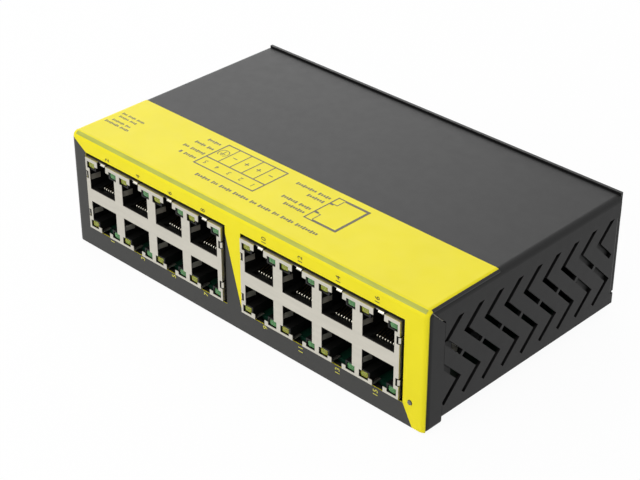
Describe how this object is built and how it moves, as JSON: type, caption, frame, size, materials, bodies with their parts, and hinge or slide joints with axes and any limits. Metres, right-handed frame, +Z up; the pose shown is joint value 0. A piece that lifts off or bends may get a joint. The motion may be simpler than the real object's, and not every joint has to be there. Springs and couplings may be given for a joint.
{
  "type": "din rail ethernet switch",
  "caption": "Flat folded-steel Ethernet switch with stacked RJ45 sockets on the front, zigzag-vented ends, a printed yellow film and a sprung DIN-rail clip on the back.",
  "frame": {"origin": "middle of the outline's underside, on the surface the switch lies on", "axes": "+X along the case from the supply terminal to the power light, +Y from the sockets to the rail clip, +Z up out of the printed broad face"},
  "size_m": [0.1628, 0.1002, 0.0417],
  "materials": {
    "case_paint": "fine-textured dark grey powder coat",
    "printed_film": "satin printed polyester film, yellow and dark grey",
    "shield_tin": "matt tin plate",
    "black_moulding": "black glass-filled moulding",
    "contact_gold": "gold flash on bronze",
    "yellow_lens": "translucent yellow",
    "green_lens": "translucent green",
    "grey_lens": "clear rod, unlit",
    "board_laminate": "green solder mask on glass laminate",
    "zinc_screw": "bright zinc plate",
    "chip_package": "black epoxy",
    "sink_aluminium": "extruded, plain",
    "can_metal": "bright can",
    "terminal_moulding": "green polyamide",
    "tinned_pin": "tin plate",
    "clip_metal": "die-cast, tumbled",
    "latch_moulding": "black polyamide",
    "spring_steel": "bright wire"
  },
  "bodies": {
    "case": {"top_cover": "case_paint", "base_tray": "case_paint", "front_overlay": "printed_film", "main_board": "board_laminate", "board_standoffs": "zinc_screw", "base_screws": "zinc_screw", "board_screws": "zinc_screw", "rear_screws": "zinc_screw", "bracket_screws": "zinc_screw", "switch_chip": "chip_package", "heat_sink": "sink_aluminium", "transceiver_chips": "chip_package", "isolation_transformers": "chip_package", "crystal": "can_metal", "power_inductor": "chip_package", "power_capacitor": "can_metal", "supply_regulator": "chip_package", "input_fuse": "chip_package", "power_led": "chip_package", "power_light_pipe": "grey_lens", "terminal_header": "terminal_moulding", "header_pins": "tinned_pin", "terminal_plug": "terminal_moulding", "plug_clamps": "tinned_pin", "plug_screws": "zinc_screw", "din_bracket": "clip_metal", "latch_spring": "spring_steel", "jack_shield_a": "shield_tin", "jack_housing_a": "black_moulding", "jack_inserts_a": "black_moulding", "jack_contacts_a": "contact_gold", "yellow_light_pipes_a": "yellow_lens", "green_light_pipes_a": "green_lens", "jack_shield_b": "shield_tin", "jack_housing_b": "black_moulding", "jack_inserts_b": "black_moulding", "jack_contacts_b": "contact_gold", "yellow_light_pipes_b": "yellow_lens", "green_light_pipes_b": "green_lens"},
    "latch": {"din_latch": "latch_moulding"}
  },
  "joints": [
    {"name": "latch_slide", "type": "slide", "parent": "case", "child": "latch", "axis": [1, 0, 0], "range_m": [0, 0.004], "stiffness_N_per_m": 1500, "springref_m": -0.004, "deforming": ["latch_spring"]}
  ]
}
